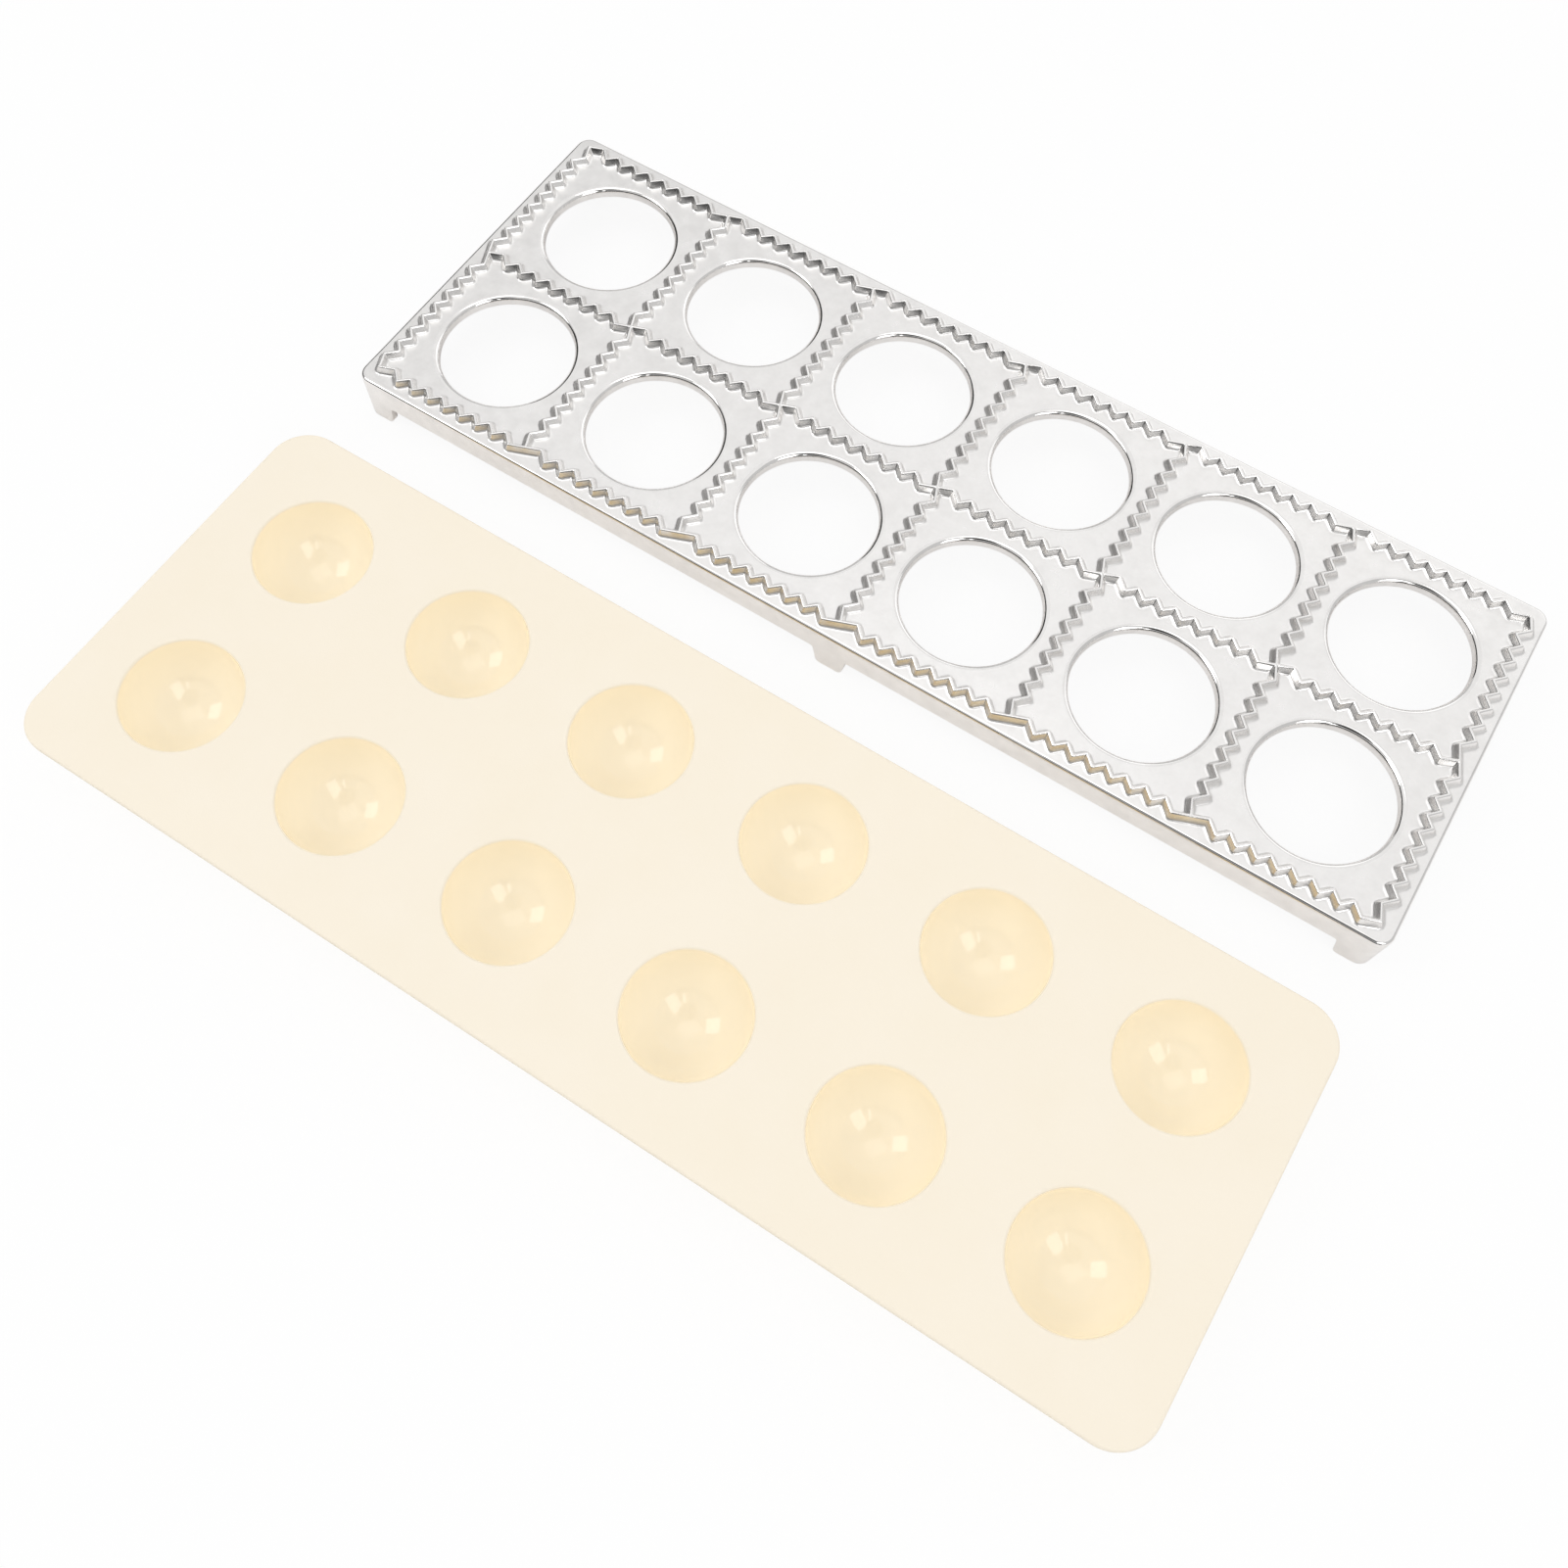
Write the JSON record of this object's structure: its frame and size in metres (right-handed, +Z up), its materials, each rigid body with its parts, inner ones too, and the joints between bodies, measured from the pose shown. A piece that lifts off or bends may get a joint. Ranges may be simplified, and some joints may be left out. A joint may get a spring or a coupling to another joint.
{
  "type": "ravioli press",
  "caption": "Two-piece ravioli press: cast aluminium tray with round holes and zigzag cutting ridges, beside a cream plastic press plate with hollow round bumps.",
  "frame": {"origin": "on the table, at the middle of the ground that both pieces cover", "axes": "+X along the length of both pieces, +Y from the press plate to the tray, +Z up"},
  "size_m": [0.31, 0.2428, 0.0188],
  "materials": {
    "cast_aluminium": "satin cast faces with polished ridges and hole lips",
    "cream_plastic": "smooth glossy moulding"
  },
  "bodies": {
    "tray": {"cutting_tray": "cast_aluminium"},
    "press": {"press_plate": "cream_plastic"}
  },
  "joints": [
    {"name": "press_lift", "type": "slide", "parent": "tray", "child": "press", "axis": [0, 0, 1], "range_m": [0, 0.08]}
  ]
}
